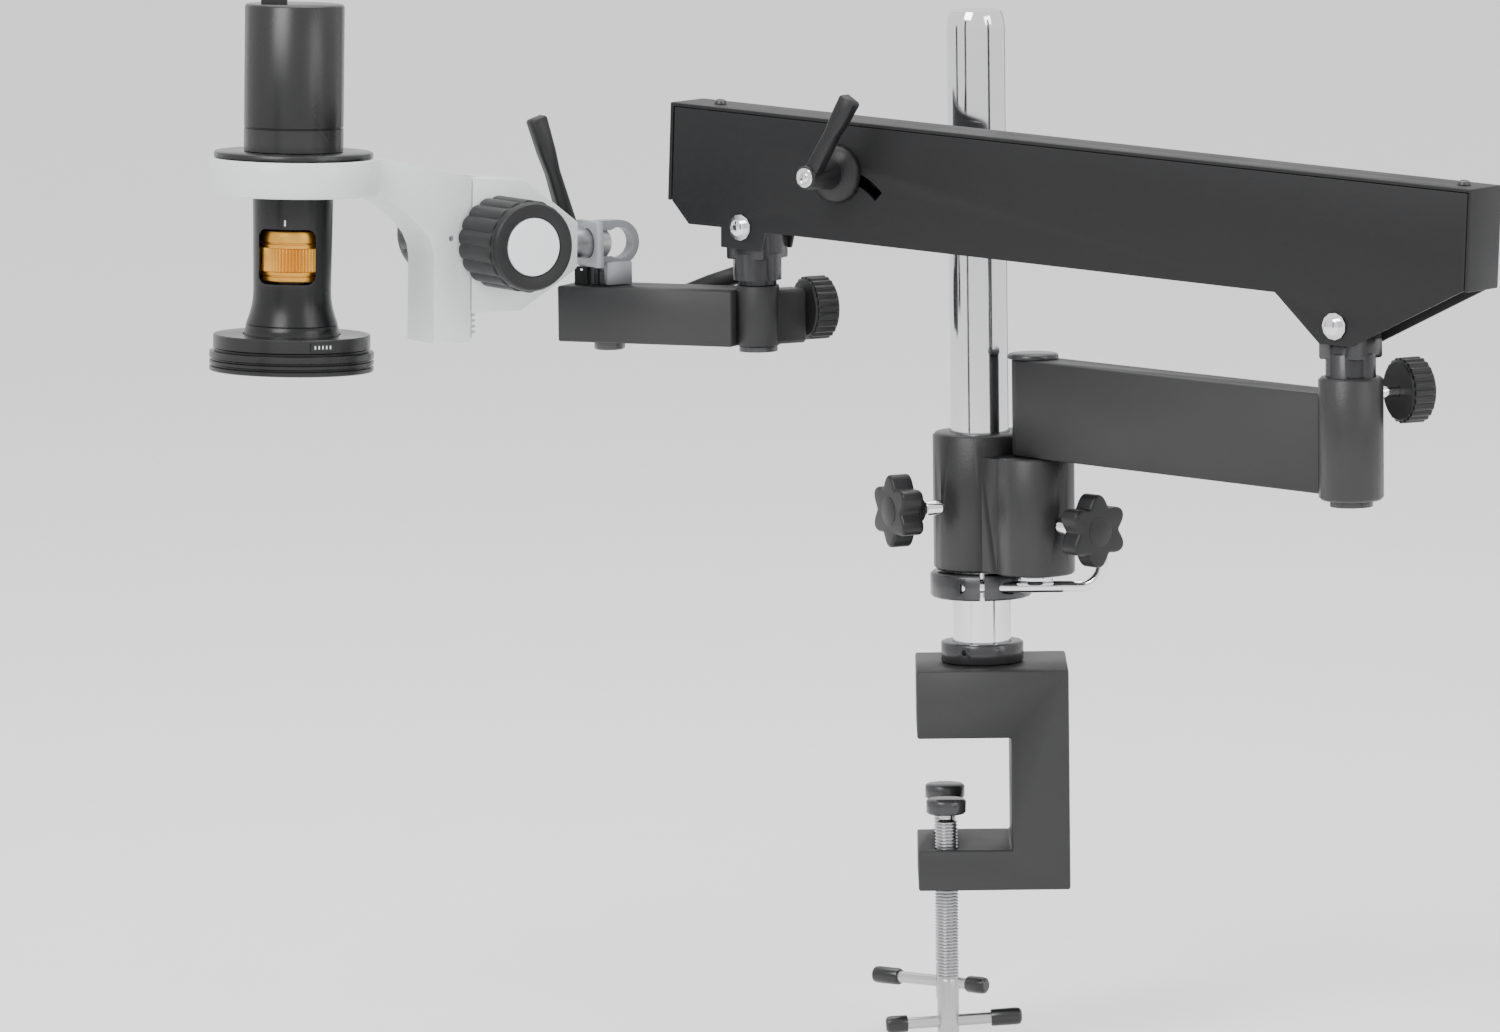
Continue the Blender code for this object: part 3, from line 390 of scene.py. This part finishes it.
def microscope():
    up = JOINTS["microscope_turn"]["axis"]
    pin = JOINTS["rack_roll"]["axis"]
    scope = axis_frame(JOINTS["microscope_turn"]["pos_m"], up, pin)
    tube = [(18.4, 54.2), (21.4, 54.2), (21.8, 53.8), (21.8, 28.0), (21.5, 8.0), (21.1, -20.0)]
    tube += [(21.3, -25.0), (21.9, -29.0), (22.9, -33.0), (24.2, -36.8), (24.9, -39.0)]
    tube += [(24.6, -39.4), (25.0, -39.8), (25.7, -42.5), (26.0, -44.9), (18.4, -44.9)]
    body = lathe("microscope_tube_shell", tube, scope, ANODISED, "microscope_tube", steps=160)
    window = math.radians(WINDOW_TURN)
    outward = scope.to_3x3() @ Vector((math.cos(window), math.sin(window), 0.0))
    face = axis_frame(scope.translation, outward, up)
    outline = rounded_box_outline(-16.5, 13.5, 15.6, 4.5)
    for name, low, high in (("front_window", 4.0, 40.0), ("rear_window", -40.0, -4.0)):
        opening = body.modifiers.new(name, "BOOLEAN")
        opening.operation = "DIFFERENCE"
        opening.solver = "EXACT"
        opening.object = cutter(name, outline, low, high, face)
        body.modifiers.move(len(body.modifiers) - 1, 1)
    tick = rounded_box_outline(15.4, 18.6, 0.45, 0.2)
    prism("zoom_index_mark", tick, 21.2, 21.9, face, MARK, body="microscope")
    zoom = [(12.0, 12.6), (16.6, 12.6), (17.2, 12.2), (17.5, 11.6), (17.5, 6.0), (16.6, 5.7)]
    zoom += [(16.6, 5.1), (17.5, 4.8), (17.5, 2.9), (16.4, 2.6), (16.4, -9.8), (17.5, -10.1)]
    zoom += [(17.5, -11.6), (16.6, -11.9), (16.6, -12.5), (17.5, -12.8), (17.5, -14.8)]
    zoom += [(16.6, -15.4), (12.0, -15.4)]
    lathe("zoom_ring_bands", zoom, scope, BRASS, "zoom_ring", steps=128)
    knurl = lobes(17.6, 1.1, 56, 4, 1.0)
    prism("zoom_ring_knurl", knurl, -9.9, 2.7, scope, BRASS, body="zoom",
          edge=0.15, segments=2, split=25.0)
    barrel = [(0.0, 50.0), (11.4, 50.0), (11.4, -36.0), (0.0, -36.0)]
    lathe("inner_barrel", barrel, scope, OXIDE, body="microscope")
    ring_light(scope, up)


def ring_light(scope, up):
    light = [(21.5, -45.6), (26.7, -45.6), (26.7, -44.4), (42.0, -44.4), (42.6, -45.0)]
    light += [(42.6, -51.6), (42.2, -52.0), (41.6, -52.3), (41.6, -53.2), (44.2, -53.5)]
    light += [(44.6, -54.0)]
    for z in (-57.0, -60.2):
        light += [(44.6, z), (43.5, z - 0.5), (43.5, z - 1.1), (44.6, z - 1.6)]
    light += [(44.6, -63.7), (44.1, -64.2), (40.3, -64.2), (40.3, -58.0), (24.0, -58.0)]
    light += [(24.0, -64.2), (21.5, -64.2)]
    lathe("ring_light_body", light, scope, ANODISED, "ring_light", steps=160)
    turn = Matrix.Rotation(math.radians(LATCH_TURN), 4, "Z")
    outward = (scope.to_3x3() @ turn.to_3x3()) @ Vector((1.0, 0.0, 0.0))
    latch_at = axis_frame(scope.translation, outward, up)
    plate = rounded_box_outline(-50.6, -46.2, 7.0, 0.8)
    prism("ring_light_latch", plate, 41.3, 43.1, latch_at, PLASTIC, body="ring_light",
          edge=0.25)
    for i in range(5):
        x = -4.4 + 2.2 * i
        bar = [(-49.2, x - 0.35), (-47.4, x - 0.35), (-47.4, x + 0.35), (-49.2, x + 0.35)]
        prism("latch_mark_%d" % i, bar, 42.8, 43.25, latch_at, MARK, body="ring_light")
    for i in range(LAMP_COUNT):
        a = 2.0 * math.pi * i / LAMP_COUNT
        around = Vector((math.cos(a), math.sin(a), 0.0))
        spot = Matrix.Translation(around * (LAMP_CIRCLE_R * MM))
        lamp = [(0.0, -58.2), (2.2, -58.2), (2.2, -60.4), (1.6, -61.1), (0.0, -61.3)]
        lathe("light_%02d" % i, lamp, scope @ spot, INSERT, body="ring_light",
              steps=16)


def pillar():
    low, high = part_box("pillar")
    base, top = low.z / MM, high.z / MM
    post = [(0.0, top), (13.0, top), (13.8, top - 0.3), (15.2, top - 3.0), (15.8, top - 6.5)]
    post += [(16.0, top - 10.0), (16.0, base), (0.0, base)]
    lathe("pillar_post", post, Matrix.Identity(4), CHROME, "pillar", steps=160)


def clamp_screw(side, raised):
    x, y, _ = JOINTS[side + "_screw_turn"]["pos_m"]
    place = Matrix.Translation(Vector((x, y, 0.0)))
    screw = [(0.0, -40.0), (3.6, -40.0), (3.6, -46.0), (5.2, -47.0)]
    z = -47.5
    while z > -135.0:
        screw += [(6.2, z), (6.2, z - 0.35), (5.2, z - 1.2)]
        z -= 1.75
    foot = -168.0 + raised
    screw += [(6.0, -136.2), (6.0, foot + 0.9), (5.1, foot), (0.0, foot)]
    node = side + "_clamp_screw"
    lathe(node + "_thread", screw, place, STEEL, node, steps=64)
    middle = centre(side + "_tommy_bar")
    bar_at = axis_frame(middle, JOINTS[side + "_bar_slide"]["axis"])
    half = BAR_HALF
    bar = [(0.0, half - 3.0), (BAR_R, half - 3.0), (BAR_R, 3.0 - half), (0.0, 3.0 - half)]
    lathe(side + "_bar_rod", bar, bar_at, STEEL, side + "_tommy_bar", steps=48)
    lengths = BAR_CAP_LENGTHS[side]
    for end, sign, length in (("a", 1.0, lengths[0]), ("b", -1.0, lengths[1])):
        cap = [(3.3, half - length), (4.3, half - length), (4.7, half - length + 0.8)]
        cap += [(4.8, half - 3.0), (4.4, half - 1.0), (3.0, half), (0.0, half), (0.0, half - 2.9)]
        cap += [(3.3, half - 2.9)]
        place = bar_at if sign > 0 else bar_at @ Matrix.Rotation(math.pi, 4, "X")
        lathe(side + "_bar_cap_" + end, cap, place, VINYL, body=side + "_bar",
              steps=48)


def safety_rod():
    low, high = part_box("safety_lever_rod")
    radius = 3.2
    y = (low.y + high.y) / 2.0 / MM
    z = low.z / MM + radius
    right = high.x / MM - radius
    bend = 12.0
    path = [(low.x / MM, y, z)]
    for i in range(13):
        a = math.radians(7.5 * i)
        path.append((right - bend + bend * math.sin(a), y, z + bend * (1.0 - math.cos(a))))
    path.append((right, y, high.z / MM))
    curve = bpy.data.curves.new("safety_rod", "CURVE")
    curve.dimensions = "3D"
    curve.bevel_depth = radius * MM
    curve.bevel_resolution = 8
    curve.use_fill_caps = True
    line = curve.splines.new("POLY")
    line.points.add(len(path) - 1)
    for point, at in zip(line.points, path):
        point.co = (at[0] * MM, at[1] * MM, at[2] * MM, 1.0)
    line.use_smooth = True
    piece("safety_rod", curve, Matrix.Identity(4), CHROME, "safety_lever_rod")


def small_fittings():
    lever = axis_frame(JOINTS["knuckle_lock_turn"]["pos_m"], JOINTS["knuckle_lock_turn"]["axis"])
    front = -lever.col[2].xyz
    along_arm = Vector((front.y, -front.x, 0.0))
    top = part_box("forearm")[1].z
    knuckle = Vector(JOINTS["knuckle_swing"]["pos_m"])
    spot = knuckle + along_arm * (13.6 * MM) + front * (4.0 * MM)
    spot.z = top - 1.6 * MM
    screw = [(0.0, -3.0), (1.7, -3.0), (1.7, 1.2), (1.2, 1.9), (0.0, 2.1)]
    tilt = (front + Vector((0.0, 0.0, 0.9))).normalized()
    lathe("stop_screw", screw, axis_frame(spot, tilt), CHROME, body="forearm",
          steps=32)
    for name, face in SPRING_RING_HEIGHT.items():
        place = at_joint(name + "_turn")
        ring = [(2.9, face - 0.6), (5.2, face - 0.6), (5.2, face + 0.1), (4.8, face + 0.4)]
        ring += [(3.2, face + 0.4), (2.9, face + 0.2)]
        lathe(name + "_spring_ring", ring, place, CHROME, body=name, steps=48)


def stage():
    white = finish_of("pale_floor", (0.96, 0.96, 0.96), 0.6, grain=60.0, bump=0.05, mottle=0.01)
    bpy.ops.mesh.primitive_plane_add(size=FLOOR_SIDE, location=(0.0, 0.0, FLOOR_Z))
    floor = bpy.context.object
    floor.name = "floor"
    floor.data.materials.append(white)
    world = bpy.data.worlds.new("studio")
    bpy.context.scene.world = world
    world.use_nodes = True
    back = world.node_tree.nodes["Background"]
    back.inputs["Color"].default_value = (1.0, 1.0, 1.0, 1.0)
    back.inputs["Strength"].default_value = 1.25
    dark = bpy.data.materials.new("dark_card")
    dark.use_nodes = True
    shader = dark.node_tree.nodes["Principled BSDF"]
    shader.inputs["Base Color"].default_value = (0.01, 0.01, 0.01, 1.0)
    cards = [floor]
    for x, y, turn in ((-1.5, -1.6, -40.0), (1.4, -1.2, 50.0), (0.9, 1.6, 150.0)):
        bpy.ops.mesh.primitive_plane_add(size=1.0, location=(x, y, 0.35))
        card = bpy.context.object
        card.name = "dark_card_%d" % len(cards)
        card.scale = (0.28, 1.5, 1.0)
        card.rotation_euler = (math.radians(90.0), 0.0, math.radians(turn))
        card.data.materials.append(dark)
        card.visible_camera = False
        card.visible_shadow = False
        cards.append(card)
    for name, at, size, power, aim in (
        ("key", (-1.6, -2.2, 2.4), 1.6, 75.0, (-0.1, -0.05, 0.2)),
        ("fill", (2.2, -1.8, 1.4), 1.4, 26.0, (0.1, -0.05, 0.2)),
        ("top", (-0.1, 0.6, 2.4), 1.8, 34.0, (0.0, 0.0, 0.2)),
    ):
        data = bpy.data.lights.new(name, "AREA")
        data.size = size
        data.energy = power
        lamp = bpy.data.objects.new(name, data)
        bpy.context.scene.collection.objects.link(lamp)
        turn = (Vector(aim) - Vector(at)).to_track_quat("-Z", "Y")
        lamp.matrix_world = Matrix.Translation(Vector(at)) @ turn.to_matrix().to_4x4()


def camera():
    yaw, roll = CAMERA_YAW, CAMERA_ROLL
    level = math.cos(CAMERA_PITCH)
    ahead = Vector((math.sin(yaw) * level, math.cos(yaw) * level, -math.sin(CAMERA_PITCH)))
    right = Vector((math.cos(yaw), -math.sin(yaw), 0.0))
    up = right.cross(ahead)
    r2 = right * math.cos(roll) + up * math.sin(roll)
    u2 = -right * math.sin(roll) + up * math.cos(roll)
    data = bpy.data.cameras.new("camera")
    data.lens = 228.0
    data.sensor_width = 36.0
    data.clip_end = 60.0
    eye = bpy.data.objects.new("camera", data)
    bpy.context.scene.collection.objects.link(eye)
    turn = Matrix((r2, u2, -ahead)).transposed().to_4x4()
    eye.matrix_world = Matrix.Translation(Vector(CAMERA_AT)) @ turn
    bpy.context.scene.camera = eye


star_knob("pillar_lock", 44.0)
star_knob("arm_lock", 40.0)
lock_knob("elbow_lock", 28.5, 13.9)
lock_knob("wrist_lock", 28.0, 8.6)
focus_knob("near", -1.0)
focus_knob("far", 1.0)
microscope()
pillar()
clamp_screw("front", 0.0)
clamp_screw("rear", 12.0)
safety_rod()
small_fittings()
stage()
camera()
